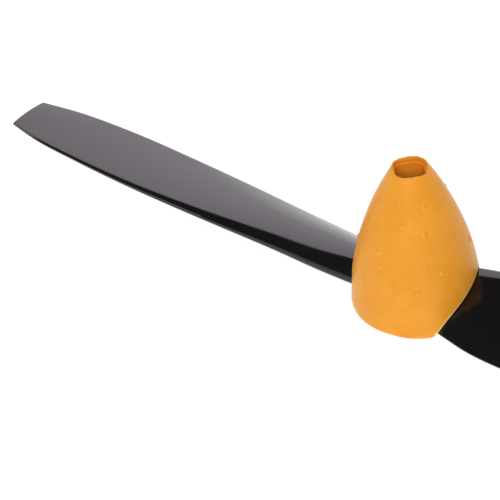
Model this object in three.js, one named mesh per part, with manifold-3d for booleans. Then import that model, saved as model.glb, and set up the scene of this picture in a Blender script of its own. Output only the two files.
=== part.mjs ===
// A two-blade moulded propeller for a model aeroplane, with a soft nose cone held by one long screw.
// Millimetres. +Z runs forward along the shaft, from the rear face of the shaft adapter to the nose.
// The blades lie along X. Seen from the nose the propeller turns anticlockwise.
import * as THREE from "three";
import { mergeVertices } from "three/addons/utils/BufferGeometryUtils.js";
import Module from "manifold-3d";

const wasm = await Module();
wasm.setup();

// ---- Driving dimensions ----
const TIP_RADIUS = 127; // a 254 mm (10 inch) propeller
const TIP_SLANT = 2.6; // the square-cut tip is this much shorter at its leading corner
const ROOT_RADIUS = 20; // where the root sizes below hold
const ROOT_PITCH = 27.4; // blade angle in degrees
const TIP_PITCH = 11;
const TWIST_POWER = 1.3;
const THIN_EDGE = 0.7; // thickness of the trailing edge
const ROOT_NOSE = 4.2; // how much thicker the leading edge is at the root than at the tip
const TIP_NOSE = 0.8;
const ROOT_CROWN = 1.35; // rise of the front face above its chord at the root, over the tip's
const TIP_CROWN = 0.45;
const THINNING_POWER = 2.2;
const NOSE_DEPTH = 0.55; // length of the rounded leading edge over its thickness
const NOSE_POWER = 0.8; // below 1 the rounding is fuller than a circle's
const REAR_POWER = 0.85; // how evenly the rear face tapers to the trailing edge
const NOSE_STEPS = 8;
const FACE_STEPS = 8;
const STATIONS = 27;
const START_RADIUS = 3; // the blade starts inside the hub

const CONE_BASE = 6.5; // height of the cone's rear edge above the adapter's rear face
const CONE_RADIUS = 15;
const CONE_HEIGHT = 36.7;
const CONE_POWER = 1.95; // shape of the cone's side, 2 would be a parabola
const NOSE_RIM = 4.2; // outer radius at the nose hole
const WELL_RADIUS = 3.5; // the nose hole and the screw well below it
const WELL_WALL = 1.3;
const SKIN = 1.3;
const SLOT_RADIUS = 14.3; // the slot follows the blade section at this radius
const SLOT_GAP = 0.45; // over the blade's front face
const SLOT_LEAD_GAP = 1.1;
const SLOT_TRAIL_TRIM = 0.2;
const SLOT_DRAFT = 0.3; // the slot widens this much to the rear
const FOOT_STEP = 0.6; // the screw well is this much thicker at its foot
const CONE_STEPS = 12;

const HUB_RADIUS = 7;
const HUB_REAR = 8.1;
const HUB_FRONT = 16.7;
const HUB_BORE = 3.95;
const SEAT_RADIUS = 9.1; // recess behind the hub for the back plate
const HUB_EDGE = 0.6;
const BLADE_HEIGHT = 11.7; // height of the chord line where it crosses the shaft axis

const COLLAR_RADIUS = 5;
const FLANGE_REAR = 5;
const FLANGE_FRONT = 6.4;
const FLANGE_RADIUS = 7.5;
const SPIGOT_RADIUS = 3;
const SPIGOT_TOP = 16.4;
const SHAFT_BORE = 1.6; // clears a 3.17 mm shaft, and the retaining screw above it
const KNURL_TEETH = 32;
const KNURL_DEPTH = 0.35;
const NECK_STEP = 0.5; // the collar runs this far into the flange
const CHAMFER = 0.4;
const GRUB_HEIGHT = 2.6;
const GRUB_RADIUS = 1.5;
const GRUB_LENGTH = 3;
const SOCKET_RADIUS = 0.87; // corner radius of the 1.5 mm hexagon
const SOCKET_DEPTH = 1.2;

const PLATE_TOP = 8;
const PLATE_RADIUS = 8.7;
const LUG_OUTER = 13.1;
const LUG_INNER = 11.8;
const LUG_TOP = 12;
const ARM_WIDTH = 9;
const PIP_RADIUS = 0.9;
const PIP_RISE = 1.3;
const PIP_HOLE_DEPTH = 1.7;
const PIP_OFFSET = 5.3;

const FLOOR_REAR = 16.8;
const FLOOR_FRONT = 18.2;
const SCREW_RADIUS = 1.5;
const SCREW_LENGTH = 12;
const HEAD_RADIUS = 2.8;
const HEAD_HEIGHT = 2.4;
const HEAD_REAR = 19.8;
const HEAD_RIM = 1.1; // height of the head's straight side
const RECESS_LENGTH = 3.2;
const RECESS_WIDTH = 0.75;
const RECESS_DEPTH = 1.4;

const WASHER_REAR = 18.3;
const WASHER_RADIUS = 3;
const WASHER_THICKNESS = 0.5;
const SPRING_REAR = 18.9;
const SPRING_RADIUS = 2.75;
const SPRING_THICKNESS = 0.8;
const SPRING_GAP = 0.5;

const SNUG = 0.05; // radial clearances
const CLOSE = 0.1;
const LOOSE = 0.2;

const BLACK_NYLON = { color: 0x060606, roughness: 0.18, metalness: 0 };
const ORANGE_VINYL = { color: 0xf0a540, roughness: 0.5, metalness: 0 };
const BLACK_PLASTIC = { color: 0x121212, roughness: 0.55, metalness: 0 };
const WHITE_PLASTIC = { color: 0xd8d6cf, roughness: 0.5, metalness: 0 };
const ALUMINIUM = { color: 0xb9bbc0, roughness: 0.35, metalness: 1 };
const ZINC_STEEL = { color: 0xa9abad, roughness: 0.3, metalness: 1 };
const BLACK_STEEL = { color: 0x2a2a2c, roughness: 0.4, metalness: 1 };

// ---- Solids ----
function solid(geometry) {
  const bare = geometry.index ? geometry : geometry.clone();
  bare.deleteAttribute("normal");
  bare.deleteAttribute("uv");
  const merged = mergeVertices(bare, 1e-4);
  const mesh = new wasm.Mesh({
    numProp: 3,
    vertProperties: merged.attributes.position.array,
    triVerts: new Uint32Array(merged.index.array),
  });
  return new wasm.Manifold(mesh);
}

function geometryOf(body) {
  const mesh = body.getMesh();
  const geometry = new THREE.BufferGeometry();
  geometry.setAttribute("position", new THREE.BufferAttribute(mesh.vertProperties, 3));
  geometry.setIndex(new THREE.BufferAttribute(mesh.triVerts, 1));
  geometry.computeVertexNormals();
  return geometry;
}

// A turned piece about Z, from [radius, height] points going round its section anticlockwise.
function turned(points, sides = 48) {
  const profile = points.map(([radius, height]) => new THREE.Vector2(radius, height));
  profile.push(profile[0].clone());
  const lathe = new THREE.LatheGeometry(profile, sides);
  return solid(lathe.rotateX(Math.PI / 2));
}

function rod(radius, low, high, sides = 48) {
  return turned([[0, low], [radius, low], [radius, high], [0, high]], sides);
}

function ring(inner, outer, low, high, sides = 48) {
  return turned([[inner, low], [outer, low], [outer, high], [inner, high]], sides);
}

// A round peg parallel to Z, off the axis along Y.
function peg(radius, low, high, along) {
  const cylinder = new THREE.CylinderGeometry(radius, radius, high - low, 16);
  return solid(cylinder.rotateX(Math.PI / 2).translate(0, along, (low + high) / 2));
}

function block(low, high) {
  const size = high.map((value, i) => value - low[i]);
  const box = new THREE.BoxGeometry(...size);
  const middle = high.map((value, i) => (value + low[i]) / 2);
  return solid(box.translate(...middle));
}

// ---- Blade ----
// A smooth line through hand-set [distance from the axis, offset from the blade's axis] points.
function smoothLine(points) {
  const radii = points.map((point) => point[0]);
  const offsets = points.map((point) => point[1]);
  const line = new THREE.CubicInterpolant(radii, offsets, 1, new Float64Array(1));
  return (radius) => line.evaluate(radius)[0];
}

const leadingEdge = smoothLine([
  [3, 4.6], [9, 7.3], [16, 8.8], [34, 10.5], [55, 12.2], [75, 12.2], [98, 10.6], [114, 8.7],
  [124.4, 6.2],
]);
const trailingEdge = smoothLine([
  [3, -4.8], [9, -8], [16, -10.7], [40, -11.5], [75, -12.2], [100, -11.7], [115, -10.2], [127, -7.6],
]);

const outward = (radius) => Math.max(0, (TIP_RADIUS - radius) / (TIP_RADIUS - ROOT_RADIUS));
const thinning = (radius) => outward(radius) ** THINNING_POWER;
const noseThickness = (radius) => TIP_NOSE + ROOT_NOSE * thinning(radius);
const crownHeight = (radius) => TIP_CROWN + ROOT_CROWN * thinning(radius);
const pitch = (radius) =>
  THREE.MathUtils.degToRad(TIP_PITCH + (ROOT_PITCH - TIP_PITCH) * outward(radius) ** TWIST_POWER);

// One blade section as [chord offset, height over the chord] points: round nose, crowned front
// face, thin trailing edge and flat rear face.
function bladeSection(radius, lead, trail, rise = 0) {
  const thick = noseThickness(radius);
  const depth = NOSE_DEPTH * thick;
  const points = [];
  for (let i = 0; i <= NOSE_STEPS; i += 1) {
    const angle = -Math.PI / 2 + (Math.PI * i) / NOSE_STEPS;
    const across = Math.max(0, Math.cos(angle)) ** NOSE_POWER;
    const up = Math.sign(Math.sin(angle)) * Math.abs(Math.sin(angle)) ** NOSE_POWER;
    points.push([lead - depth + depth * across, (thick / 2) * (up - 1) + (up > 0 ? rise : 0)]);
  }
  const start = lead - depth;
  for (let i = 1; i <= FACE_STEPS; i += 1) {
    const along = i / FACE_STEPS;
    const crown = crownHeight(radius) * 4 * along * (1 - along);
    points.push([start + (trail - start) * along, crown + rise]);
  }
  points.push([trail - THIN_EDGE / 5, -THIN_EDGE / 2]);
  for (let i = FACE_STEPS; i > 0; i -= 1) {
    const along = i / FACE_STEPS;
    points.push([start + (trail - start) * along, -(thick + (THIN_EDGE - thick) * along ** REAR_POWER)]);
  }
  return points;
}

// Turns a section point at this radius by the blade angle into [across, height].
function pitched(radius, [offset, height]) {
  const angle = pitch(radius);
  return [
    offset * Math.cos(angle) - height * Math.sin(angle),
    BLADE_HEIGHT + offset * Math.sin(angle) + height * Math.cos(angle),
  ];
}

function blade() {
  const rows = [];
  for (let i = 0; i <= STATIONS; i += 1) {
    const along = i / STATIONS;
    const leadRadius = START_RADIUS + (TIP_RADIUS - TIP_SLANT - START_RADIUS) * along;
    const trailRadius = START_RADIUS + (TIP_RADIUS - START_RADIUS) * along;
    const lead = leadingEdge(leadRadius);
    const trail = trailingEdge(trailRadius);
    const section = bladeSection(leadRadius, lead, trail);
    rows.push(section.map((point) => {
      const share = THREE.MathUtils.clamp((lead - point[0]) / (lead - trail), 0, 1);
      const radius = leadRadius + (trailRadius - leadRadius) * share;
      return [radius, ...pitched(leadRadius, point)];
    }));
  }
  const count = rows[0].length;
  const positions = rows.flat(2);
  const faces = [];
  for (let i = 0; i < STATIONS; i += 1) {
    for (let j = 0; j < count; j += 1) {
      const a = i * count + j;
      const b = i * count + ((j + 1) % count);
      faces.push(a, b, a + count, b, b + count, a + count);
    }
  }
  const middle = (row) => row.reduce((sum, p) => sum.map((v, k) => v + p[k] / row.length), [0, 0, 0]);
  const rootCentre = positions.length / 3;
  positions.push(...middle(rows[0]), ...middle(rows[STATIONS]));
  for (let j = 0; j < count; j += 1) {
    const next = (j + 1) % count;
    faces.push(rootCentre, next, j);
    faces.push(rootCentre + 1, STATIONS * count + j, STATIONS * count + next);
  }
  const geometry = new THREE.BufferGeometry();
  geometry.setAttribute("position", new THREE.Float32BufferAttribute(positions, 3));
  geometry.setIndex(faces);
  return geometry;
}

function propeller() {
  const hub = turned([
    [0, HUB_REAR],
    [HUB_RADIUS - HUB_EDGE, HUB_REAR],
    [HUB_RADIUS, HUB_REAR + HUB_EDGE],
    [HUB_RADIUS, HUB_FRONT - HUB_EDGE],
    [HUB_RADIUS - HUB_EDGE, HUB_FRONT],
    [0, HUB_FRONT],
  ]);
  const right = solid(blade());
  const left = solid(blade().rotateZ(Math.PI));
  let body = hub.add(right).add(left);
  body = body.subtract(rod(SEAT_RADIUS, 0, HUB_REAR));
  body = body.subtract(rod(HUB_BORE, 0, HUB_FRONT + 1));
  for (const side of [-1, 1]) {
    const top = HUB_REAR + PIP_HOLE_DEPTH;
    body = body.subtract(peg(PIP_RADIUS + LOOSE, HUB_REAR - 1, top, side * PIP_OFFSET));
  }
  return body;
}

// ---- Nose cone ----
const coneRadius = (height) =>
  CONE_RADIUS - (CONE_RADIUS - NOSE_RIM) * ((height - CONE_BASE) / CONE_HEIGHT) ** CONE_POWER;

// The opening in the cone's side: the blade's front face with a gap over it, open to the rear.
function slotCutter() {
  const lead = leadingEdge(SLOT_RADIUS) + SLOT_LEAD_GAP;
  const trail = trailingEdge(SLOT_RADIUS) - SLOT_TRAIL_TRIM;
  const section = bladeSection(SLOT_RADIUS, lead, trail, SLOT_GAP);
  const frontFace = section.slice(NOSE_STEPS / 2, NOSE_STEPS + FACE_STEPS + 1);
  const top = frontFace.map((point) => pitched(SLOT_RADIUS, point));
  const [leadSide] = top[0];
  const [trailSide] = top[top.length - 1];
  const outline = [[leadSide, CONE_BASE - 1], ...top, [trailSide - SLOT_DRAFT, CONE_BASE - 1]];
  const shape = new THREE.Shape(outline.map(([across, height]) => new THREE.Vector2(across, height)));
  const depth = CONE_RADIUS + 1 - HUB_RADIUS;
  const prism = new THREE.ExtrudeGeometry(shape, { depth, bevelEnabled: false });
  const axes = new THREE.Matrix4().makeBasis(
    new THREE.Vector3(0, 1, 0),
    new THREE.Vector3(0, 0, 1),
    new THREE.Vector3(1, 0, 0),
  );
  return prism.applyMatrix4(axes).translate(HUB_RADIUS, 0, 0);
}

function noseCone() {
  const top = CONE_BASE + CONE_HEIGHT;
  const tube = WELL_RADIUS + WELL_WALL;
  const foot = tube + FOOT_STEP;
  const screwHole = SCREW_RADIUS + LOOSE;
  const rise = CONE_HEIGHT / CONE_STEPS;
  const heights = Array.from({ length: CONE_STEPS + 1 }, (_, i) => CONE_BASE + rise * i);
  const outside = heights.map((height) => [coneRadius(height), height]);
  const inside = heights
    .map((height) => [coneRadius(height) - SKIN, height])
    .filter(([radius]) => radius > tube + SNUG)
    .reverse();
  const shell = turned([
    [WELL_RADIUS, FLOOR_FRONT],
    [screwHole, FLOOR_FRONT],
    [screwHole, FLOOR_REAR],
    [foot, FLOOR_REAR],
    [foot, FLOOR_REAR + 1],
    [tube, FLOOR_FRONT + 1],
    [tube, inside[0][1]],
    ...inside,
    ...outside,
    [WELL_RADIUS, top],
  ]);
  return shell.subtract(solid(slotCutter())).subtract(solid(slotCutter().rotateZ(Math.PI)));
}

// ---- Shaft fittings ----
function shaftAdapter() {
  const rim = [];
  for (let i = 0; i < KNURL_TEETH * 2; i += 1) {
    const radius = FLANGE_RADIUS - (i % 2 ? 0 : KNURL_DEPTH);
    const angle = (Math.PI * i) / KNURL_TEETH;
    rim.push(new THREE.Vector2(radius * Math.cos(angle), radius * Math.sin(angle)));
  }
  const thickness = FLANGE_FRONT - FLANGE_REAR;
  const flange = new THREE.ExtrudeGeometry(new THREE.Shape(rim), { depth: thickness, bevelEnabled: false });
  const stem = turned([
    [0, 0],
    [COLLAR_RADIUS - CHAMFER, 0],
    [COLLAR_RADIUS, CHAMFER],
    [COLLAR_RADIUS, FLANGE_REAR + NECK_STEP],
    [SPIGOT_RADIUS, FLANGE_REAR + NECK_STEP],
    [SPIGOT_RADIUS, SPIGOT_TOP - CHAMFER],
    [SPIGOT_RADIUS - CHAMFER, SPIGOT_TOP],
    [0, SPIGOT_TOP],
  ]);
  const across = COLLAR_RADIUS * 2 + 2;
  const cross = new THREE.CylinderGeometry(GRUB_RADIUS + SNUG, GRUB_RADIUS + SNUG, across, 24);
  cross.translate(0, 0, GRUB_HEIGHT);
  return stem
    .add(solid(flange.translate(0, 0, FLANGE_REAR)))
    .subtract(rod(SHAFT_BORE, -1, SPIGOT_TOP + 1, 24))
    .subtract(solid(cross));
}

function grubScrew(side) {
  const body = new THREE.CylinderGeometry(GRUB_RADIUS, GRUB_RADIUS, GRUB_LENGTH, 24);
  const socket = new THREE.CylinderGeometry(SOCKET_RADIUS, SOCKET_RADIUS, SOCKET_DEPTH * 2, 6);
  const inner = SHAFT_BORE + SNUG;
  body.translate(0, side * (inner + GRUB_LENGTH / 2), GRUB_HEIGHT);
  socket.translate(0, side * (inner + GRUB_LENGTH), GRUB_HEIGHT);
  return solid(body).subtract(solid(socket));
}

function backPlate() {
  const half = ARM_WIDTH / 2;
  const lugs = ring(LUG_INNER, LUG_OUTER, CONE_BASE, LUG_TOP);
  const arms = rod(LUG_OUTER, CONE_BASE, PLATE_TOP);
  const band = block([-half, -CONE_RADIUS, 0], [half, CONE_RADIUS, LUG_TOP + 1]);
  let plate = lugs.add(arms).intersect(band);
  plate = plate.add(rod(PLATE_RADIUS, CONE_BASE, PLATE_TOP));
  for (const side of [-1, 1]) {
    plate = plate.add(peg(PIP_RADIUS, CONE_BASE, PLATE_TOP + PIP_RISE, side * PIP_OFFSET));
  }
  return plate.subtract(rod(SPIGOT_RADIUS + LOOSE, 0, LUG_TOP));
}

function flatWasher() {
  return ring(SCREW_RADIUS + CLOSE, WASHER_RADIUS, WASHER_REAR, WASHER_REAR + WASHER_THICKNESS, 32);
}

function springWasher() {
  const slant = 0.5;
  const body = ring(SCREW_RADIUS + CLOSE, SPRING_RADIUS, SPRING_REAR, SPRING_REAR + SPRING_THICKNESS, 32);
  const gap = new THREE.BoxGeometry(SPRING_RADIUS, SPRING_GAP, SPRING_THICKNESS * 4);
  gap.rotateX(slant).translate(SPRING_RADIUS - CLOSE, 0, SPRING_REAR + SPRING_THICKNESS / 2);
  return body.subtract(solid(gap));
}

function retainingScrew() {
  const top = HEAD_REAR + HEAD_HEIGHT;
  let body = turned([
    [0, HEAD_REAR - SCREW_LENGTH],
    [SCREW_RADIUS - CHAMFER, HEAD_REAR - SCREW_LENGTH],
    [SCREW_RADIUS, HEAD_REAR - SCREW_LENGTH + CHAMFER],
    [SCREW_RADIUS, HEAD_REAR],
    [HEAD_RADIUS, HEAD_REAR],
    [HEAD_RADIUS, HEAD_REAR + HEAD_RIM],
    [HEAD_RADIUS * 0.92, (HEAD_REAR + HEAD_RIM + top) / 2],
    [HEAD_RADIUS * 0.7, top - LOOSE],
    [HEAD_RADIUS * 0.4, top],
    [0, top],
  ], 32);
  for (const turn of [0, Math.PI / 2]) {
    const bar = new THREE.BoxGeometry(RECESS_LENGTH, RECESS_WIDTH, RECESS_DEPTH * 2);
    bar.translate(0, 0, top).rotateZ(turn + Math.PI / 4);
    body = body.subtract(solid(bar));
  }
  return body;
}

// ---- Assembly ----
const group = new THREE.Group();

function place(name, body, finish) {
  const mesh = new THREE.Mesh(geometryOf(body), new THREE.MeshStandardMaterial(finish));
  mesh.name = name;
  group.add(mesh);
}

place("propeller", propeller(), BLACK_NYLON);
place("hub_bush", ring(SPIGOT_RADIUS + SNUG, HUB_BORE - SNUG, HUB_REAR, HUB_FRONT), WHITE_PLASTIC);
place("spinner", noseCone(), ORANGE_VINYL);
place("spinner_backplate", backPlate(), BLACK_PLASTIC);
place("shaft_adapter", shaftAdapter(), ALUMINIUM);
place("grub_screw_1", grubScrew(-1), BLACK_STEEL);
place("grub_screw_2", grubScrew(1), BLACK_STEEL);
place("flat_washer", flatWasher(), ZINC_STEEL);
place("spring_washer", springWasher(), ZINC_STEEL);
place("retaining_screw", retainingScrew(), ZINC_STEEL);

export default group;
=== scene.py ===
"""A model aircraft propeller with a soft orange nose cone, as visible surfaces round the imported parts.

Lengths in this file are millimetres until a mesh is made, where MM turns them into metres.
+Z is the shaft's forward direction, and the blades lie along X.
"""

import math  # noqa: E402

import bmesh  # noqa: E402
import bpy  # noqa: E402
import numpy as np  # noqa: E402
from mathutils import Matrix, Vector  # noqa: E402


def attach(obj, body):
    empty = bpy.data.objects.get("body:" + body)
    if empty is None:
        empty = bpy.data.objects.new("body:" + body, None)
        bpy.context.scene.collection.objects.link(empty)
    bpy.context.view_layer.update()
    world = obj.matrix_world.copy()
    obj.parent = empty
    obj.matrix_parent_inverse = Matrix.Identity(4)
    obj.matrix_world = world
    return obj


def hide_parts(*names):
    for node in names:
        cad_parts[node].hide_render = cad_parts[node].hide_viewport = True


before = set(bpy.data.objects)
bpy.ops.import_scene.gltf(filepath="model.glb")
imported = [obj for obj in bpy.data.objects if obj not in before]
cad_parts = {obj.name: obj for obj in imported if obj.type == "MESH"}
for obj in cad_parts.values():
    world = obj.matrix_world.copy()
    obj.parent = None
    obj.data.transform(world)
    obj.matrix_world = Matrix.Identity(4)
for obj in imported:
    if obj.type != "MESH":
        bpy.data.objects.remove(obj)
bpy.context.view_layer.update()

MM = 0.001

# ---- Blade ----
TIP_RADIUS = 127
TIP_SLANT = 2.6
ROOT_RADIUS = 20
ROOT_PITCH, TIP_PITCH, TWIST_POWER = 27.4, 11, 1.3
THIN_EDGE = 0.7
ROOT_NOSE, TIP_NOSE = 3.85, 0.8
ROOT_CROWN, TIP_CROWN = 1.35, 0.45
THINNING_POWER = 2.2
NOSE_DEPTH, NOSE_POWER, REAR_POWER = 0.60, 0.62, 0.85
BEVEL_DROP, BEVEL_SHARPNESS = 0.6, 3.5
RIDGE_DROP, RIDGE_FADE = 0.24, 1.6
BLADE_HEIGHT = 11.7
START_RADIUS = 3
NOSE_STEPS, FACE_STEPS, STATIONS, END_ROUND, END_STEPS = 20, 30, 150, 0.18, 5

# The blade's edges, as (distance from the axis, offset from the blade's middle line).
LEADING = [
    (3, 4.6), (9, 7.6), (16, 9.5), (34, 11.0), (55, 12.2), (75, 12.2), (98, 10.6), (114, 8.7), (124.4, 6.2),
]
TRAILING = [
    (3, -4.8), (9, -8.8), (16, -10.5), (40, -11.5), (75, -12.2), (100, -11.7), (115, -10.2), (127, -7.6),
]

# ---- Hub and nose cone ----
HUB_RADIUS, HUB_REAR, HUB_FRONT, HUB_BORE, SEAT_RADIUS = 7, 8.1, 16.7, 3.95, 9.1
HUB_EDGE, HUB_DISH_RADIUS, HUB_DISH_DEPTH = 0.5, 5.4, 0.3
CONE_BASE, CONE_RADIUS, CONE_HEIGHT, CONE_POWER, NOSE_RIM = 6.5, 15, 36.7, 1.95, 4.2
WELL_RADIUS, WELL_WALL, FOOT_STEP, SKIN = 3.5, 1.3, 0.6, 1.3
FLOOR_REAR, FLOOR_FRONT, SCREW_HOLE = 16.8, 18.2, 1.7
SLOT_RADIUS, SLOT_GAP, SLOT_LEAD_GAP, SLOT_TRAIL_TRIM, SLOT_DRAFT = 14.3, 0.45, 0.4, 0.2, 0.3
# The second width here is how far a painted highlight, a paler orange, reaches beyond each slot's bevel.
EDGE_BEVEL, HIGHLIGHT_WIDTH = 0.25, 0.2
CONE_SIDES, OUTER_ROWS, INNER_ROWS, WELL_ROWS = 320, 150, 60, 26
# Points of the turned cone this near its outer surface, or outside its well's wall, are reshaped with it.
SURFACE_BAND, WALL_BAND = 0.4, 0.35

# The rounded edges of the skirt and the nose hole: (in from the skirt's radius, up from its base)
# and (out from the well's radius, down from the nose).
SKIRT_EDGE = [(0.45, 0), (0.2, 0.05), (0.05, 0.2)]
HOLE_EDGE = [(0.24, 0.02), (0.16, 0.12), (0.12, 0.6), (0.10, 1.3), (-0.12, 1.45)]

# Raised pips left by the mould: (degrees round the axis from +X, height over the cone's base, size).
PIPS = [
    (-78, 32, 1), (-32, 30.5, 0.9), (-114, 28, 1), (-69, 27, 1), (-39, 25, 1), (-57, 24.7, 0.5), (-96, 20, 1),
    (-70, 20, 0.9), (-42, 18, 1), (-92, 17, 1), (-26, 15.5, 1), (-117, 15, 1), (-73, 13, 1), (-52, 12, 1),
    (-58, 12.7, 0.8), (-59, 9, 1), (-151, 17, 1),
]
# A pip is a dome in a shallow ring. The cone also has slight waves, and both fade out at its ends.
PIP_HEIGHT, PIP_SPREAD, PIP_SLOPE = 0.30, 0.48, 1.05
RING_DEPTH, RING_RADIUS, RING_WIDTH = 0.11, 0.88, 0.28
WAVE_HEIGHT, WAVES_ROUND, WAVE_LEAN, WAVE_RISE, WAVE_START = 0.03, 3, 0.21, 0.17, 1.0
RELIEF_SINK, RELIEF_FADE = 0.04, 3

# A crease above the skirt's corner beside one blade: (degrees round the axis, height over the base).
# Below it the skirt's corner is bent outward.
CREASE = [(-78, 0), (-66, 1.4), (-56, 2.0), (-45, 2.7), (-34, 3.65), (-22, 4.65), (-10, 5.4), (-6, 0)]
NO_CREASE = -9
FLARE, FLARE_REACH, CREASE_DEPTH, CREASE_WIDTH = 0.6, 2.7, 0.05, 0.3

# The nose hole is a rounded square near its mouth, and the rim round it follows and is worn uneven.
SQUARENESS, SQUARE_TURN, SQUARE_SCALE, SQUARE_DEPTH, SQUARE_BLEND = 3.2, -46.6, 0.985, 9, 4
RIM_DEPTH, RIM_SCALE, RIM_SQUARE = 2.5, 0.965, 0.45
# The rim's unevenness is a mean depth and waves of (depth, number round the rim, start angle).
WORN_DEPTH, WORN_MEAN = 0.8, 0.08
WORN_WAVES = [(0.05, 5, 0.7), (0.05, 13, 0), (0.04, 23, 1.9)]

# ---- Fittings ----
SPIGOT_RADIUS, SPIGOT_TOP, COLLAR_RADIUS, SHAFT_BORE = 3, 16.4, 5, 1.6
FLANGE_REAR, FLANGE_FRONT, FLANGE_RADIUS, KNURL_TEETH, KNURL_DEPTH = 5, 6.4, 7.5, 32, 0.35
GRUB_HEIGHT, GRUB_RADIUS, GRUB_LENGTH, SOCKET_RADIUS, SOCKET_DEPTH = 2.6, 1.5, 3, 0.87, 1.2
PLATE_TOP, PLATE_RADIUS, LUG_INNER, LUG_OUTER, LUG_TOP, ARM_WIDTH = 8, 8.7, 11.8, 13.1, 12, 9
PEG_RADIUS, PEG_OFFSET, PEG_RISE, PEG_HOLE_DEPTH = 0.9, 5.3, 1.3, 1.7
SCREW_RADIUS, SCREW_LENGTH, THREAD_PITCH, THREAD_DEPTH = 1.5, 12, 0.5, 0.27
HEAD_RADIUS, HEAD_HEIGHT, HEAD_REAR, HEAD_RIM, HEAD_EDGE, DOME_POWER = 2.8, 2.4, 19.8, 1.1, 0.12, 0.6
RECESS_LENGTH, RECESS_WIDTH, RECESS_DEPTH = 3.2, 0.75, 1.4
WASHER_REAR, WASHER_RADIUS, WASHER_THICKNESS = 18.3, 3, 0.5
SPRING_REAR, SPRING_RADIUS, SPRING_THICKNESS = 18.9, 2.75, 0.8
SPRING_CLIMB, SPRING_GAP, SPRING_LEAN, SPRING_STEPS = 0.06, 0.11, 0.12, 90
FIT_GAP, HEAD_FILLET = 0.05, 0.05

# ---- Studio: angles in degrees, and brightness against a plain white surround of 1 ----
CAMERA_ELEVATION, CAMERA_HEADING, CAMERA_ROLL = 38.77, 133.4, -6.985
CAMERA_DISTANCE, AIM_RIGHT, AIM_UP, CAMERA_LENS, SENSOR_WIDTH = 426.3, 38.39, -10.28, 133.2, 36
FAR_SIDE, NEAR_SIDE = (0.05, 0.60), (-0.35, 0.35)
BACKDROP_LOW, BACKDROP_HIGH, BACKDROP_RISE, BACKDROP_TOP = 1.0, 1.6, 0.5, (0.59, 0.63)
SWEEP_BRIGHTNESS, SWEEP_TOP = 0.75, (0.10, 0.20)
ROOM_BRIGHTNESS, STUDIO_COLOUR = 0.07, (1, 0.925, 1.01, 1)
FLOOR_HALF, FLOOR_DROP, FLOOR_GLOW = 3000, 0.1, 0.90
NOISE_LOW, NOISE_HIGH = 0.3, 0.7


# ======== Mesh helpers ========
def mesh_object(name, points, faces):
    """A new object from points in millimetres, with doubled points merged and normals facing out."""
    mesh = bpy.data.meshes.new(name)
    mesh.from_pydata((np.asarray(points, float) * MM).tolist(), [], faces)
    obj = bpy.data.objects.new(name, mesh)
    bpy.context.scene.collection.objects.link(obj)
    weld(obj)
    return obj


def weld(obj, distance=1e-7):
    """Merges points within distance in metres, triangulates, and turns the normals outward."""
    work = bmesh.new()
    work.from_mesh(obj.data)
    bmesh.ops.remove_doubles(work, verts=work.verts, dist=distance)
    bmesh.ops.dissolve_degenerate(work, edges=work.edges, dist=distance)
    bmesh.ops.triangulate(work, faces=work.faces)
    bmesh.ops.recalc_face_normals(work, faces=work.faces)
    work.to_mesh(obj.data)
    work.free()


def boolean(obj, other, operation):
    """Joins, cuts or intersects obj with other, and removes other."""
    modifier = obj.modifiers.new(operation, "BOOLEAN")
    modifier.operation = operation
    modifier.solver = "MANIFOLD"
    modifier.object = other
    bake_modifiers(obj)
    bpy.data.objects.remove(other)
    return obj


def bake_modifiers(obj):
    graph = bpy.context.evaluated_depsgraph_get()
    made = bpy.data.meshes.new_from_object(obj.evaluated_get(graph))
    obj.modifiers.clear()
    obj.data = made


def soften(obj, width, angle=40, segments=2):
    """Rounds the edges sharper than angle by width millimetres."""
    modifier = obj.modifiers.new("soften", "BEVEL")
    modifier.width = width * MM
    modifier.segments = segments
    modifier.limit_method = "ANGLE"
    modifier.angle_limit = math.radians(angle)
    bake_modifiers(obj)


def smooth(obj, angle=35):
    obj.data.polygons.foreach_set("use_smooth", [True] * len(obj.data.polygons))
    obj.data.set_sharp_from_angle(angle=math.radians(angle))


def rounded(corners, radius, steps=4):
    """The closed outline with each corner rounded by a short curve."""
    outline = []
    count = len(corners)
    for i, corner in enumerate(corners):
        here = np.array(corner, float)
        before = np.array(corners[i - 1], float) - here
        after = np.array(corners[(i + 1) % count], float) - here
        if here[0] == 0:
            outline.append(tuple(here))
            continue
        reach = min(radius, np.linalg.norm(before) * 0.45, np.linalg.norm(after) * 0.45)
        first = here + before / np.linalg.norm(before) * reach
        last = here + after / np.linalg.norm(after) * reach
        for k in range(steps + 1):
            t = k / steps
            outline.append(tuple((1 - t) ** 2 * first + 2 * t * (1 - t) * here + t * t * last))
    return outline


def subdivided(outline, step):
    """The closed outline with points added so that no stretch is longer than step."""
    fine = []
    for i, point in enumerate(outline):
        start, end = np.array(point, float), np.array(outline[(i + 1) % len(outline)], float)
        pieces = max(1, math.ceil(np.linalg.norm(end - start) / step))
        fine += [tuple(start + (end - start) * k / pieces) for k in range(pieces)]
    return fine


def band(row, count):
    """The faces between a closed row of count points and the next row."""
    a, b = row * count, (row + 1) * count
    return [(a + j, a + (j + 1) % count, b + (j + 1) % count, b + j) for j in range(count)]


def lathe(name, outline, sides=96, reshape=None):
    """Turns a closed (radius, height) outline about Z. reshape(angle, radius, height) moves the points."""
    angles = np.linspace(0, 2 * math.pi, sides, endpoint=False)
    radius = np.array([p[0] for p in outline], float)[None, :].repeat(sides, 0)
    height = np.array([p[1] for p in outline], float)[None, :].repeat(sides, 0)
    turn = angles[:, None].repeat(len(outline), 1)
    if reshape:
        radius, height = reshape(turn, radius, height)
    points = np.stack([radius * np.cos(turn), radius * np.sin(turn), height], -1).reshape(-1, 3)
    count = len(outline)
    faces = []
    for i in range(sides):
        for j in range(count):
            a, b = i * count + j, i * count + (j + 1) % count
            c, d = ((i + 1) % sides) * count + (j + 1) % count, ((i + 1) % sides) * count + j
            if outline[j][0] == 0 and outline[(j + 1) % count][0] == 0:
                continue
            faces.append((a, b, c, d))
    return mesh_object(name, points, faces)


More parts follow.
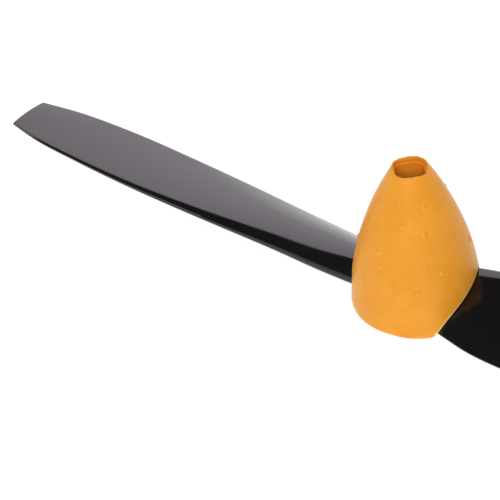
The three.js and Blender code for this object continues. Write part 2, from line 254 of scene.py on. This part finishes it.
def rod_outline(radius, low, high):
    return [(0, low), (radius, low), (radius, high), (0, high)]


def rod(radius, low, high, sides=96):
    return lathe("rod", rod_outline(radius, low, high), sides)


def block(low, high):
    """A closed block between two corners."""
    points = [(x, y, z) for x in (low[0], high[0]) for y in (low[1], high[1]) for z in (low[2], high[2])]
    faces = [(0, 1, 3, 2), (4, 6, 7, 5), (0, 4, 5, 1), (2, 3, 7, 6), (0, 2, 6, 4), (1, 5, 7, 3)]
    return mesh_object("block", points, faces)


def moved(obj, matrix):
    obj.data.transform(matrix)
    return obj


def half_turn():
    return Matrix.Rotation(math.pi, 4, "Z")


# ======== Blade ========
def smooth_line(points):
    """Interpolates the given (distance, offset) points with a smooth cubic between each pair."""
    x = np.array([p[0] for p in points], float)
    y = np.array([p[1] for p in points], float)
    slope = np.gradient(y, x)

    def evaluate(r):
        i = int(np.clip(np.searchsorted(x, r) - 1, 0, len(x) - 2))
        step = x[i + 1] - x[i]
        t = (r - x[i]) / step
        h00, h10 = 2 * t**3 - 3 * t**2 + 1, t**3 - 2 * t**2 + t
        h01, h11 = -2 * t**3 + 3 * t**2, t**3 - t**2
        return h00 * y[i] + h10 * step * slope[i] + h01 * y[i + 1] + h11 * step * slope[i + 1]

    return evaluate


leading_edge = smooth_line(LEADING)
trailing_edge = smooth_line(TRAILING)


def outward(r):
    return max(0.0, (TIP_RADIUS - r) / (TIP_RADIUS - ROOT_RADIUS))


def nose_thickness(r):
    return TIP_NOSE + ROOT_NOSE * outward(r) ** THINNING_POWER


def crown_height(r):
    return TIP_CROWN + ROOT_CROWN * outward(r) ** THINNING_POWER


def pitch(r):
    return math.radians(TIP_PITCH + (ROOT_PITCH - TIP_PITCH) * outward(r) ** TWIST_POWER)


def blade_section(r, lead, trail, rise=0.0):
    """A closed section of (chord offset, height) points: under the nose, over the front face and back."""
    thick = nose_thickness(r)
    depth = NOSE_DEPTH * thick
    start = lead - depth
    crown = crown_height(r)

    def face(offset):
        share = (lead - offset) / (lead - trail)
        lowered = RIDGE_DROP * thick * max(0.0, 1 - share) ** RIDGE_FADE
        return crown * 4 * share * (1 - share) - lowered

    points = []
    for i in range(NOSE_STEPS // 2):
        angle = math.pi * (i / NOSE_STEPS - 0.5)
        across, up = math.cos(angle) ** NOSE_POWER, -abs(math.sin(angle)) ** NOSE_POWER
        points.append((start + depth * across, thick / 2 * (up - 1)))
    # Above the middle the nose rises to a rounded corner, then a bevel climbs back to the ridge.
    front, ridge = (lead, -thick / 2), (start, face(start) + rise)
    corner = (lead - 0.06 * depth, face(start) + rise - BEVEL_DROP * depth)
    for i in range(NOSE_STEPS // 2 + 1):
        t = i / (NOSE_STEPS // 2)
        weights = ((1 - t) ** 2, 2 * BEVEL_SHARPNESS * t * (1 - t), t * t)
        points.append(tuple(
            sum(w * p[k] for w, p in zip(weights, (front, corner, ridge))) / sum(weights) for k in range(2)
        ))
    for i in range(1, FACE_STEPS + 1):
        offset = start + (trail - start) * i / FACE_STEPS
        points.append((offset, face(offset) + rise))
    for i in range(1, 5):
        angle = math.pi * i / 5
        points.append((trail - THIN_EDGE * 0.3 * math.sin(angle), -THIN_EDGE / 2 * (1 - math.cos(angle))))
    for i in range(FACE_STEPS, 0, -1):
        along = i / FACE_STEPS
        drop = thick + (THIN_EDGE - thick) * along**REAR_POWER
        points.append((start + (trail - start) * along, -drop))
    return points


def pitched(r, point):
    """Turns a section point by the blade angle into (across, height)."""
    offset, height = point
    angle = pitch(r)
    return (
        offset * math.cos(angle) - height * math.sin(angle),
        BLADE_HEIGHT + offset * math.sin(angle) + height * math.cos(angle),
    )


def shrunk(section, inset):
    """The section drawn in by inset, for the rounded end of the tip."""
    points = np.array(section)
    tangent = np.roll(points, -1, 0) - np.roll(points, 1, 0)
    tangent /= np.maximum(np.linalg.norm(tangent, axis=1, keepdims=True), 1e-9)
    inward = np.stack([-tangent[:, 1], tangent[:, 0]], 1)
    return (points + inward * inset).tolist()


def blade():
    """One blade along +X, from inside the hub to its slanted tip, which ends in a small round."""
    rows = []
    spans = [(i / STATIONS, 0.0, 0.0) for i in range(STATIONS + 1)]
    for k in range(1, END_STEPS + 1):
        angle = math.pi / 2 * k / END_STEPS
        spans.append((1.0, END_ROUND * math.sin(angle), END_ROUND * (1 - math.cos(angle))))
    for along, further, inset in spans:
        lead_radius = START_RADIUS + (TIP_RADIUS - END_ROUND - TIP_SLANT - START_RADIUS) * along + further
        trail_radius = START_RADIUS + (TIP_RADIUS - END_ROUND - START_RADIUS) * along + further
        lead, trail = leading_edge(lead_radius), trailing_edge(trail_radius)
        section = blade_section(lead_radius, lead, trail)
        if inset:
            section = shrunk(section, inset)
        row = []
        for point in section:
            share = min(1.0, max(0.0, (lead - point[0]) / (lead - trail)))
            radius = lead_radius + (trail_radius - lead_radius) * share
            row.append((radius, *pitched(lead_radius, point)))
        rows.append(row)
    count = len(rows[0])
    points = [p for row in rows for p in row]
    faces = []
    for i in range(len(rows) - 1):
        faces += band(i, count)
    faces.append(tuple(range(count)))
    faces.append(tuple(range(len(points) - 1, len(points) - 1 - count, -1)))
    return mesh_object("blade", points, faces)


def propeller():
    dish = HUB_FRONT - HUB_DISH_DEPTH
    hub = lathe("propeller_moulding", rounded([
        (0, HUB_REAR), (HUB_RADIUS, HUB_REAR), (HUB_RADIUS, HUB_FRONT),
        (HUB_DISH_RADIUS, HUB_FRONT), (HUB_DISH_RADIUS, dish), (0, dish),
    ], HUB_EDGE))
    for turn in (Matrix.Identity(4), half_turn()):
        boolean(hub, moved(blade(), turn), "UNION")
    boolean(hub, rod(SEAT_RADIUS, 0, HUB_REAR), "DIFFERENCE")
    boolean(hub, rod(HUB_BORE, 0, HUB_FRONT + 1), "DIFFERENCE")
    for side in (-1, 1):
        hole = rod(PEG_RADIUS + 0.2, HUB_REAR - 1, HUB_REAR + PEG_HOLE_DEPTH, 32)
        moved(hole, Matrix.Translation((0, side * PEG_OFFSET * MM, 0)))
        boolean(hub, hole, "DIFFERENCE")
    return hub


# ======== Nose cone ========
def cone_radius(h):
    share = np.clip((h - CONE_BASE) / CONE_HEIGHT, 0, 1)
    return CONE_RADIUS - (CONE_RADIUS - NOSE_RIM) * share**CONE_POWER


def slot_outline():
    """The opening for a blade, seen along X: the blade's front face with a gap over it, open to the rear."""
    lead = leading_edge(SLOT_RADIUS) + SLOT_LEAD_GAP
    trail = trailing_edge(SLOT_RADIUS) - SLOT_TRAIL_TRIM
    section = blade_section(SLOT_RADIUS, lead, trail, SLOT_GAP)
    front_and_face = section[NOSE_STEPS // 2:NOSE_STEPS + FACE_STEPS + 1]
    top = [pitched(SLOT_RADIUS, p) for p in front_and_face]
    lead_side, trail_side = top[0][0], top[-1][0]
    below = CONE_BASE - 1
    # At the trailing edge the slot opens out round the skirt's corner.
    corner = [(trail_side - SLOT_DRAFT * 0.3, CONE_BASE + 0.9), (trail_side - SLOT_DRAFT, CONE_BASE + 0.35)]
    corner += [(trail_side - SLOT_DRAFT - 0.5, CONE_BASE - 0.05), (trail_side - SLOT_DRAFT - 0.9, below)]
    return np.array([(lead_side, below), *top, *corner])


def slot_cutter():
    """A closed solid that cuts one slot through the cone's skin, for the blade along +X."""
    outline = slot_outline()
    tangent = np.roll(outline, -1, 0) - np.roll(outline, 1, 0)
    tangent /= np.maximum(np.linalg.norm(tangent, axis=1, keepdims=True), 1e-9)
    outward_way = np.stack([tangent[:, 1], -tangent[:, 0]], 1)
    surface = np.sqrt(np.maximum(cone_radius(outline[:, 1]) ** 2 - outline[:, 0] ** 2, 0))
    # The cutter widens just under the cone's surface, which bevels the slot's edge.
    rows = [
        (np.full(len(outline), HUB_RADIUS), 0), (surface - EDGE_BEVEL, 0), (surface + 0.02, EDGE_BEVEL),
        (np.full(len(outline), CONE_RADIUS + 1.5), EDGE_BEVEL + 0.2),
    ]
    points, faces, count = [], [], len(outline)
    for row, (reach, growth) in enumerate(rows):
        grown = outline + outward_way * growth
        points += [(x, a, h) for x, (a, h) in zip(reach, grown)]
        if row:
            faces += band(row - 1, count)
    faces += [tuple(range(count)), tuple(range(len(points) - 1, len(points) - 1 - count, -1))]
    return mesh_object("slot_cutter", points, faces)


def pip_relief(turn, radius, above):
    """The raised pips, each a small dome in a shallow ring, on both sides of the cone."""
    relief = np.zeros_like(radius)
    for azimuth, up, size in PIPS:
        for extra in (0, math.pi):
            angle = math.radians(azimuth) + extra
            away = np.arctan2(np.sin(turn - angle), np.cos(turn - angle)) * radius
            distance = np.hypot(away, (above - up) * PIP_SLOPE) / size
            dome = np.exp(-((distance / PIP_SPREAD) ** 4))
            dip = np.exp(-(((distance - RING_RADIUS) / RING_WIDTH) ** 2))
            relief += PIP_HEIGHT * size * dome - RING_DEPTH * size * dip
    return relief


def cone_shape(turn, radius, height):
    """Gives the turned cone its pips, slight waves, crease, squarish hole and worn rim."""
    above = height - CONE_BASE
    below_nose = CONE_HEIGHT - above
    outside = radius > cone_radius(height) - SURFACE_BAND
    spiral = np.sin(WAVES_ROUND * turn + above * WAVE_LEAN)
    waves = WAVE_HEIGHT * spiral * np.sin(above * WAVE_RISE + WAVE_START)
    fade = np.clip(above / RELIEF_FADE, 0, 1) * np.clip(below_nose / RELIEF_FADE, 0, 1)
    relief = pip_relief(turn, radius, above) + waves - RELIEF_SINK
    radius = np.where(outside, radius + relief * fade, radius)

    azimuth = np.degrees(np.arctan2(np.sin(turn), np.cos(turn)))
    crease = np.interp(azimuth, *zip(*CREASE), left=NO_CREASE, right=NO_CREASE)
    flare = FLARE * np.clip((crease - above) / FLARE_REACH, 0, 1)
    line = CREASE_DEPTH * np.exp(-(((above - crease) / CREASE_WIDTH) ** 2))
    radius = np.where(outside, radius + flare - line, radius)

    swing = turn - math.radians(SQUARE_TURN)
    across, along = np.abs(np.cos(swing)) ** SQUARENESS, np.abs(np.sin(swing)) ** SQUARENESS
    square = (across + along) ** (-1 / SQUARENESS)
    inner = (radius <= WELL_RADIUS + WALL_BAND) & (above > CONE_HEIGHT - SQUARE_DEPTH)
    share = np.clip((above - (CONE_HEIGHT - SQUARE_DEPTH)) / SQUARE_BLEND, 0, 1)
    radius = np.where(inner, radius * (1 + (square * SQUARE_SCALE - 1) * share), radius)

    slim = np.clip((above - (CONE_HEIGHT - RIM_DEPTH)) / RIM_DEPTH, 0, 1) ** 2
    slimmed = radius * (1 + (RIM_SCALE * (1 + RIM_SQUARE * (square - 1)) - 1) * slim)
    radius = np.where(outside & ~inner, slimmed, radius)
    rim = np.clip((above - (CONE_HEIGHT - WORN_DEPTH)) / WORN_DEPTH, 0, 1)
    worn = sum((depth * np.sin(count * turn + start) for depth, count, start in WORN_WAVES), WORN_MEAN)
    height = height - rim * np.clip(worn, 0, 1)
    return radius, height


def nose_cone():
    top = CONE_BASE + CONE_HEIGHT
    tube = WELL_RADIUS + WELL_WALL
    foot = tube + FOOT_STEP
    heights = np.linspace(CONE_BASE, top, OUTER_ROWS)
    outside = [(float(cone_radius(h)), float(h)) for h in heights]
    coarse = np.linspace(CONE_BASE, top, INNER_ROWS)
    inside = [(float(cone_radius(h)) - SKIN, float(h)) for h in coarse]
    inside = [p for p in inside if p[0] > tube + 0.05][::-1]
    skirt_edge = [(CONE_RADIUS - into, CONE_BASE + up) for into, up in SKIRT_EDGE]
    hole_edge = [(WELL_RADIUS + out, top - down) for out, down in HOLE_EDGE]
    well = [(WELL_RADIUS - 0.1, float(h)) for h in np.linspace(top - 2, FLOOR_FRONT + 0.3, WELL_ROWS)]
    outline = [
        *skirt_edge, *outside[2:], *hole_edge, *well,
        (WELL_RADIUS - 0.4, FLOOR_FRONT), (SCREW_HOLE, FLOOR_FRONT), (SCREW_HOLE, FLOOR_REAR),
        (foot, FLOOR_REAR), (foot, FLOOR_REAR + 1), (tube, FLOOR_FRONT + 1), (tube, inside[0][1]), *inside,
    ]
    cone = lathe("nose_cone_moulding", outline, CONE_SIDES, cone_shape)
    for turn in (Matrix.Identity(4), half_turn()):
        boolean(cone, moved(slot_cutter(), turn), "DIFFERENCE")
    # A painted highlight runs along each slot's outer edge.
    mark_painted_edge_highlight(cone)
    return cone


def mark_painted_edge_highlight(cone):
    """Stores on each vertex how near it is to a slot's outer edge, where a painted highlight makes the soft
    plastic paler.
    """
    places = np.empty(3 * len(cone.data.vertices))
    cone.data.vertices.foreach_get("co", places)
    x, y, z = places.reshape(-1, 3).T / MM
    across = y * np.sign(x)
    nearest = np.full(len(x), 9.0)
    outline = slot_outline()
    for (a0, h0), (a1, h1) in zip(outline[:-1], outline[1:]):
        span = max((a1 - a0) ** 2 + (h1 - h0) ** 2, 1e-9)
        along = np.clip(((across - a0) * (a1 - a0) + (z - h0) * (h1 - h0)) / span, 0, 1)
        nearest = np.minimum(nearest, np.hypot(across - a0 - along * (a1 - a0), z - h0 - along * (h1 - h0)))
    on_skin = (np.hypot(x, y) > cone_radius(z) - EDGE_BEVEL * 1.2) & (np.abs(x) > 1)
    # Painted highlight: full at the bevel's outer edge, fading out over the width beyond it, only on the
    # outer skin.
    highlight = np.exp(-((np.maximum(nearest - EDGE_BEVEL, 0) / HIGHLIGHT_WIDTH) ** 2)) * on_skin
    cone.data.attributes.new("painted_edge_highlight", "FLOAT", "POINT").data.foreach_set("value", highlight)


# ======== Fittings ========
def saw(share):
    """A triangle wave between 0 and 1."""
    return np.abs(2 * (share - np.floor(share + 0.5)))


def threaded(low, high, outer):
    """A reshape for lathe: cuts a helical thread between two heights."""

    def cut(turn, radius, height):
        inside = np.clip((height - low) / 0.3, 0, 1) * np.clip((high - height) / 0.3, 0, 1)
        groove = THREAD_DEPTH * saw(height / THREAD_PITCH - turn / (2 * math.pi)) * inside
        return np.where(np.abs(radius - outer) < 1e-6, radius - groove, radius), height

    return cut


def knurled(turn, radius, height):
    teeth = KNURL_DEPTH * saw(KNURL_TEETH * turn / (2 * math.pi)) * (radius > FLANGE_RADIUS - 0.5)
    return radius - teeth, height


def shaft_adapter():
    stem = lathe("shaft_adapter_turned", rounded([
        (0, 0), (COLLAR_RADIUS, 0), (COLLAR_RADIUS, FLANGE_REAR + 0.5), (SPIGOT_RADIUS, FLANGE_REAR + 0.5),
        (SPIGOT_RADIUS, SPIGOT_TOP), (0, SPIGOT_TOP),
    ], 0.35))
    flange = rounded(rod_outline(FLANGE_RADIUS, FLANGE_REAR, FLANGE_FRONT), 0.2)
    boolean(stem, lathe("flange", flange, KNURL_TEETH * 8, knurled), "UNION")
    boolean(stem, rod(SHAFT_BORE, -1, SPIGOT_TOP + 1, 64), "DIFFERENCE")
    cross = rod(GRUB_RADIUS + FIT_GAP, -8, 8, 64)
    turn = Matrix.Translation((0, 0, GRUB_HEIGHT * MM)) @ Matrix.Rotation(math.pi / 2, 4, "X")
    boolean(stem, moved(cross, turn), "DIFFERENCE")
    return stem


def grub_screw(name, side):
    outline = subdivided(rounded(rod_outline(GRUB_RADIUS, 0, GRUB_LENGTH), 0.25), 0.08)
    body = lathe(name, outline, 48, threaded(0.2, GRUB_LENGTH - 0.2, GRUB_RADIUS))
    socket = rod(SOCKET_RADIUS, GRUB_LENGTH - SOCKET_DEPTH, GRUB_LENGTH + 1, 6)
    boolean(body, socket, "DIFFERENCE")
    turn = Matrix.Rotation(-side * math.pi / 2, 4, "X")
    place = Matrix.Translation((0, side * (SHAFT_BORE + FIT_GAP) * MM, GRUB_HEIGHT * MM))
    return moved(body, place @ turn)


def back_plate():
    half = ARM_WIDTH / 2
    arms = lathe("spinner_backplate_moulding", [
        (0, CONE_BASE), (LUG_OUTER, CONE_BASE), (LUG_OUTER, LUG_TOP), (LUG_INNER, LUG_TOP),
        (LUG_INNER, PLATE_TOP), (0, PLATE_TOP),
    ], 144)
    boolean(arms, block((-half, -CONE_RADIUS, 0), (half, CONE_RADIUS, LUG_TOP + 1)), "INTERSECT")
    boolean(arms, rod(PLATE_RADIUS, CONE_BASE, PLATE_TOP, 144), "UNION")
    for side in (-1, 1):
        peg = lathe("peg", rounded(rod_outline(PEG_RADIUS, CONE_BASE + 0.2, PLATE_TOP + PEG_RISE), 0.25), 32)
        boolean(arms, moved(peg, Matrix.Translation((0, side * PEG_OFFSET * MM, 0))), "UNION")
    boolean(arms, rod(SPIGOT_RADIUS + 0.2, 0, LUG_TOP), "DIFFERENCE")
    soften(arms, 0.15)
    return arms


def ring(name, inner, outer, low, high, edge):
    outline = rounded([(inner, low), (outer, low), (outer, high), (inner, high)], edge)
    return lathe(name, outline, 96)


def spring_washer():
    """A flattened split ring: a square section that climbs a little on its way round."""
    inner, outer = SCREW_RADIUS + 0.1, SPRING_RADIUS
    top = SPRING_THICKNESS - SPRING_CLIMB
    section = rounded([(inner, 0), (outer, 0), (outer, top), (inner, top)], 0.1, 3)
    count, steps = len(section), SPRING_STEPS
    points = []
    for i in range(steps + 1):
        share = i / steps
        climb = SPRING_CLIMB * share
        for radius, height in section:
            lean = (height - SPRING_THICKNESS / 2) * SPRING_LEAN
            turn = SPRING_GAP + lean + (2 * math.pi - 2 * SPRING_GAP) * share
            points.append((radius * math.cos(turn), radius * math.sin(turn), SPRING_REAR + height + climb))
    faces = [face for i in range(steps) for face in band(i, count)]
    faces += [tuple(range(count)), tuple(range(steps * count, (steps + 1) * count))]
    return mesh_object("spring_washer_coil", points, faces)


def retaining_screw():
    tip = HEAD_REAR - SCREW_LENGTH
    top = HEAD_REAR + HEAD_HEIGHT
    shank = subdivided([(SCREW_RADIUS, tip + 0.4), (SCREW_RADIUS, HEAD_REAR - 0.02)], 0.07)
    shank = shank[: len(shank) // 2 + 1]
    dome = []
    for k in range(9):
        angle = math.pi / 2 * k / 8
        across, up = math.cos(angle) ** DOME_POWER, math.sin(angle)
        dome.append((HEAD_RADIUS * across, HEAD_REAR + HEAD_RIM + (HEAD_HEIGHT - HEAD_RIM) * up))
    dome[-1] = (0, top)
    outline = [
        (0, tip), (SCREW_RADIUS - 0.4, tip), *shank, (SCREW_RADIUS + HEAD_FILLET, HEAD_REAR),
        (HEAD_RADIUS - HEAD_EDGE, HEAD_REAR), (HEAD_RADIUS, HEAD_REAR + HEAD_EDGE), *dome,
    ]
    screw = lathe("retaining_screw_threaded", outline, 64, threaded(tip + 0.3, HEAD_REAR - 0.8, SCREW_RADIUS))
    reach, side = RECESS_LENGTH / 2, RECESS_WIDTH / 2
    for turn in (math.pi / 4, 3 * math.pi / 4):
        bar = block((-reach, -side, top - RECESS_DEPTH), (reach, side, top + RECESS_DEPTH))
        boolean(screw, moved(bar, Matrix.Rotation(turn, 4, "Z")), "DIFFERENCE")
    return screw


# ======== Materials ========
class Surface:
    """A material with a Principled shader, and short ways to add nodes to it."""

    def __init__(self, name, **values):
        self.material = bpy.data.materials.new(name)
        self.material.use_nodes = True
        self.tree = self.material.node_tree
        self.shader = self.tree.nodes["Principled BSDF"]
        for socket, value in values.items():
            self.shader.inputs[socket.replace("_", " ")].default_value = value
        self.place = self.tree.nodes.new("ShaderNodeTexCoord").outputs["Object"]
        self.height = None

    def node(self, kind, **values):
        made = self.tree.nodes.new(kind)
        for name, value in values.items():
            setattr(made, name, value)
        return made

    def link(self, a, b):
        self.tree.links.new(a, b)

    def stretched(self, scale):
        made = self.node("ShaderNodeMapping")
        self.link(self.place, made.inputs["Vector"])
        made.inputs["Scale"].default_value = scale
        return made.outputs["Vector"]

    def noise(self, size_mm, detail=3.0, roughness=0.5, vector=None):
        """Noise whose features are about size_mm across."""
        made = self.node("ShaderNodeTexNoise")
        made.inputs["Scale"].default_value = 1.0 / (size_mm * MM)
        made.inputs["Detail"].default_value = detail
        made.inputs["Roughness"].default_value = roughness
        self.link(vector or self.place, made.inputs["Vector"])
        return made.outputs["Fac"]

    def tint(self, value, dark, light):
        """A colour that goes from dark to light over the usual span of noise."""
        made = self.node("ShaderNodeValToRGB")
        span = (NOISE_LOW, NOISE_HIGH)
        for element, position, colour in zip(made.color_ramp.elements, span, (dark, light)):
            element.position = position
            element.color = (*colour, 1)
        self.link(value, made.inputs["Fac"])
        return made.outputs["Color"]

    def spread(self, value, low, high):
        """A value that goes from low to high over the usual span of noise."""
        made = self.node("ShaderNodeMapRange")
        made.inputs["From Min"].default_value = NOISE_LOW
        made.inputs["From Max"].default_value = NOISE_HIGH
        made.inputs["To Min"].default_value = low
        made.inputs["To Max"].default_value = high
        self.link(value, made.inputs["Value"])
        return made.outputs["Result"]

    def bump(self, value, depth_mm):
        """Adds surface relief over the relief that is there already."""
        made = self.node("ShaderNodeBump")
        made.inputs["Distance"].default_value = depth_mm * MM
        made.inputs["Strength"].default_value = 1.0
        self.link(value, made.inputs["Height"])
        if self.height:
            self.link(self.height, made.inputs["Normal"])
        self.height = made.outputs["Normal"]
        self.link(self.height, self.shader.inputs["Normal"])

    def to(self, value, socket):
        self.link(value, self.shader.inputs[socket])


def black_nylon():
    s = Surface("black_nylon", IOR=1.5)
    s.to(s.tint(s.noise(9, 4), (0.0045, 0.0045, 0.005), (0.008, 0.0078, 0.0085)), "Base Color")
    s.to(s.spread(s.noise(14, 5, 0.6), 0.07, 0.14), "Roughness")
    flow = s.stretched((0.12, 1, 1))
    s.bump(s.noise(5, 2, 0.4, flow), 0.010)
    s.bump(s.noise(0.35, 2), 0.0012)
    return s.material


def orange_vinyl():
    s = Surface("orange_vinyl", IOR=1.25, Subsurface_Weight=0.35, Subsurface_Scale=0.0025)
    s.shader.inputs["Subsurface Radius"].default_value = (1.0, 0.35, 0.08)
    skin = s.tint(s.noise(6, 5, 0.6), (0.86, 0.340, 0.024), (0.92, 0.385, 0.036))
    # Along the slots' outer edges the skin is mixed toward pale orange, a painted highlight.
    edge = s.node("ShaderNodeAttribute", attribute_name="painted_edge_highlight")
    highlight_mix = s.node("ShaderNodeMix", data_type="RGBA")
    s.link(edge.outputs["Fac"], highlight_mix.inputs["Factor"])
    s.link(skin, highlight_mix.inputs["A"])
    highlight_mix.inputs["B"].default_value = (1.0, 0.62, 0.20, 1)
    s.to(highlight_mix.outputs["Result"], "Base Color")
    s.to(s.spread(s.noise(2.2, 4, 0.6), 0.30, 0.41), "Roughness")
    s.bump(s.noise(3.2, 3, 0.5), 0.03)
    s.bump(s.noise(0.4, 3, 0.6), 0.008)
    return s.material


def plain_plastic(name, dark, light, rough):
    s = Surface(name, IOR=1.5)
    s.to(s.tint(s.noise(3, 4), dark, light), "Base Color")
    s.to(s.spread(s.noise(1.5, 4), rough - 0.07, rough + 0.07), "Roughness")
    s.bump(s.noise(0.25, 3), 0.01)
    return s.material


def turned_metal(name, dark, light, rough, ring_mm=0.12):
    """Metal with fine tool rings round the axis and small marks all over."""
    s = Surface(name, Metallic=1.0)
    s.to(s.tint(s.noise(1.2, 5, 0.65), dark, light), "Base Color")
    s.to(s.spread(s.noise(0.8, 4, 0.6), rough - 0.08, rough + 0.10), "Roughness")
    s.bump(s.noise(ring_mm, 2, 0.5, s.stretched((0.06, 0.06, 1))), 0.004)
    s.bump(s.noise(0.5, 4, 0.7), 0.003)
    return s.material


def pale_floor():
    s = Surface("pale_floor", Roughness=0.9, Specular_IOR_Level=0.0)
    s.to(s.tint(s.noise(60, 3), (0.30, 0.30, 0.30), (0.305, 0.305, 0.305)), "Base Color")
    s.shader.inputs["Emission Color"].default_value = (1, 1, 1, 1)
    s.shader.inputs["Emission Strength"].default_value = FLOOR_GLOW
    return s.material


# ======== Assembly ========
def show(obj, body, node, material, angle=35):
    """Puts a finished piece on its body, in place of its CAD node."""
    smooth(obj, angle)
    obj.data.materials.clear()
    obj.data.materials.append(material)
    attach(obj, body)
    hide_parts(node)


nylon = black_nylon()
vinyl = orange_vinyl()
plate_plastic = plain_plastic("black_plastic", (0.010, 0.010, 0.010), (0.017, 0.017, 0.017), 0.45)
bush_plastic = plain_plastic("white_plastic", (0.62, 0.60, 0.54), (0.72, 0.70, 0.64), 0.45)
aluminium = turned_metal("turned_aluminium", (0.66, 0.67, 0.69), (0.78, 0.79, 0.81), 0.30)
oxide = turned_metal("black_steel", (0.035, 0.035, 0.04), (0.065, 0.065, 0.07), 0.42)
zinc = turned_metal("zinc_steel", (0.54, 0.55, 0.55), (0.66, 0.67, 0.69), 0.28)

show(propeller(), "rotor", "propeller", nylon, 62)
show(nose_cone(), "nose_cone", "spinner", vinyl, 40)
show(back_plate(), "rotor", "spinner_backplate", plate_plastic)
bush = ring("hub_bush_moulding", SPIGOT_RADIUS + FIT_GAP, HUB_BORE - FIT_GAP, HUB_REAR, HUB_FRONT, 0.25)
show(bush, "rotor", "hub_bush", bush_plastic)
show(shaft_adapter(), "adapter", "shaft_adapter", aluminium)
for number, side in ((1, -1), (2, 1)):
    grub = grub_screw(f"grub_screw_{number}_threaded", side)
    show(grub, "adapter", f"grub_screw_{number}", oxide)
washer_front = WASHER_REAR + WASHER_THICKNESS
washer = ring("flat_washer_pressed", SCREW_RADIUS + 0.1, WASHER_RADIUS, WASHER_REAR, washer_front, 0.08)
show(washer, "screw_washers", "flat_washer", zinc)
show(spring_washer(), "screw_washers", "spring_washer", zinc)
show(retaining_screw(), "screw", "retaining_screw", zinc)


# ======== Floor, light and camera ========
def directions(elevation, heading):
    """Forward, right and up for a camera that looks down by elevation along a heading from +X, in degrees."""
    e, a = math.radians(elevation), math.radians(heading)
    level = Vector((math.cos(a), math.sin(a), 0))
    forward = level * math.cos(e) - Vector((0, 0, math.sin(e)))
    right = level.cross(Vector((0, 0, 1))).normalized()
    return forward, right, right.cross(forward)


def place_camera():
    """Aims the camera from the photograph's side, and returns the direction it looks in."""
    forward, level_right, level_up = directions(CAMERA_ELEVATION, CAMERA_HEADING)
    turn = math.radians(CAMERA_ROLL)
    right = level_right * math.cos(turn) + level_up * math.sin(turn)
    up = level_up * math.cos(turn) - level_right * math.sin(turn)
    spot = Vector((0, 0, CONE_BASE)) - right * AIM_RIGHT - up * AIM_UP - forward * CAMERA_DISTANCE
    data = bpy.data.cameras.new("camera")
    data.lens, data.sensor_width, data.clip_start, data.clip_end = CAMERA_LENS, SENSOR_WIDTH, 0.01, 50
    camera = bpy.data.objects.new("camera", data)
    bpy.context.scene.collection.objects.link(camera)
    turned = Matrix((right, up, -forward)).transposed().to_4x4()
    camera.matrix_world = Matrix.Translation(spot * MM) @ turned
    bpy.context.scene.camera = camera
    return forward


def soft_light(name, direction, distance, size, power, mirrored=True):
    """A round lamp that faces the origin, with distance and size in metres and power in watts."""
    data = bpy.data.lights.new(name, "AREA")
    data.shape, data.size, data.energy = "DISK", size, power
    light = bpy.data.objects.new(name, data)
    bpy.context.scene.collection.objects.link(light)
    toward = Vector(direction).normalized()
    light.location = toward * distance
    light.rotation_mode = "QUATERNION"
    light.rotation_quaternion = toward.to_track_quat("Z", "Y")
    light.visible_glossy = mirrored


def studio_world(forward):
    """A bright backdrop on the far side, a white sweep low on the near side, and a dim room overhead."""
    world = bpy.data.worlds.new("studio")
    bpy.context.scene.world = world
    world.use_nodes = True
    tree = world.node_tree
    background = tree.nodes["Background"]
    direction = tree.nodes.new("ShaderNodeTexCoord").outputs["Generated"]
    split = tree.nodes.new("ShaderNodeSeparateXYZ")
    tree.links.new(direction, split.inputs["Vector"])
    height = split.outputs["Z"]

    def graded(value, start, end, low, high, kind="SMOOTHSTEP"):
        made = tree.nodes.new("ShaderNodeMapRange")
        made.interpolation_type = kind
        for socket, number in (("From Min", start), ("From Max", end), ("To Min", low), ("To Max", high)):
            made.inputs[socket].default_value = number
        tree.links.new(value, made.inputs["Value"])
        return made.outputs["Result"]

    def combined(operation, first, second):
        made = tree.nodes.new("ShaderNodeMath")
        made.operation = operation
        tree.links.new(first, made.inputs[0])
        tree.links.new(second, made.inputs[1])
        return made.outputs["Value"]

    facing = tree.nodes.new("ShaderNodeVectorMath")
    facing.operation = "DOT_PRODUCT"
    facing.inputs[1].default_value = Vector((forward.x, forward.y, 0)).normalized()
    tree.links.new(direction, facing.inputs[0])
    far_side = graded(facing.outputs["Value"], *FAR_SIDE, 0, 1)
    near_side = graded(facing.outputs["Value"], *NEAR_SIDE, 1, 0)
    glow = graded(height, 0, BACKDROP_RISE, BACKDROP_LOW, BACKDROP_HIGH, "LINEAR")
    backdrop = combined("MULTIPLY", glow, graded(height, *BACKDROP_TOP, 1, 0))
    sweep = graded(height, *SWEEP_TOP, SWEEP_BRIGHTNESS, 0)
    lit = combined("ADD", combined("MULTIPLY", backdrop, far_side), combined("MULTIPLY", sweep, near_side))
    room = graded(lit, 0, 2, ROOM_BRIGHTNESS, 2 + ROOM_BRIGHTNESS, "LINEAR")
    tree.links.new(room, background.inputs["Strength"])
    background.inputs["Color"].default_value = STUDIO_COLOUR


def place_floor():
    half = FLOOR_HALF
    corners = [(-half, -half, 0), (half, -half, 0), (half, half, 0), (-half, half, 0)]
    floor = mesh_object("floor", corners, [(0, 1, 2, 3)])
    floor.location.z = -FLOOR_DROP * MM
    floor.data.materials.append(pale_floor())


view_forward = place_camera()
studio_world(view_forward)
place_floor()
soft_light("key", (0.40, -0.67, 0.63), distance=0.8, size=0.5, power=3.2)
soft_light("fill", (0.75, 0.1, 0.7), distance=0.9, size=0.6, power=0.35)
# The overhead lamp would show as a pale patch on the near blade if it were mirrored there.
soft_light("overhead", (0.0, 0.0, 1.0), distance=0.9, size=0.35, power=1.7, mirrored=False)
bpy.context.scene.view_settings.view_transform = "Standard"
bpy.context.scene.view_settings.look = "None"
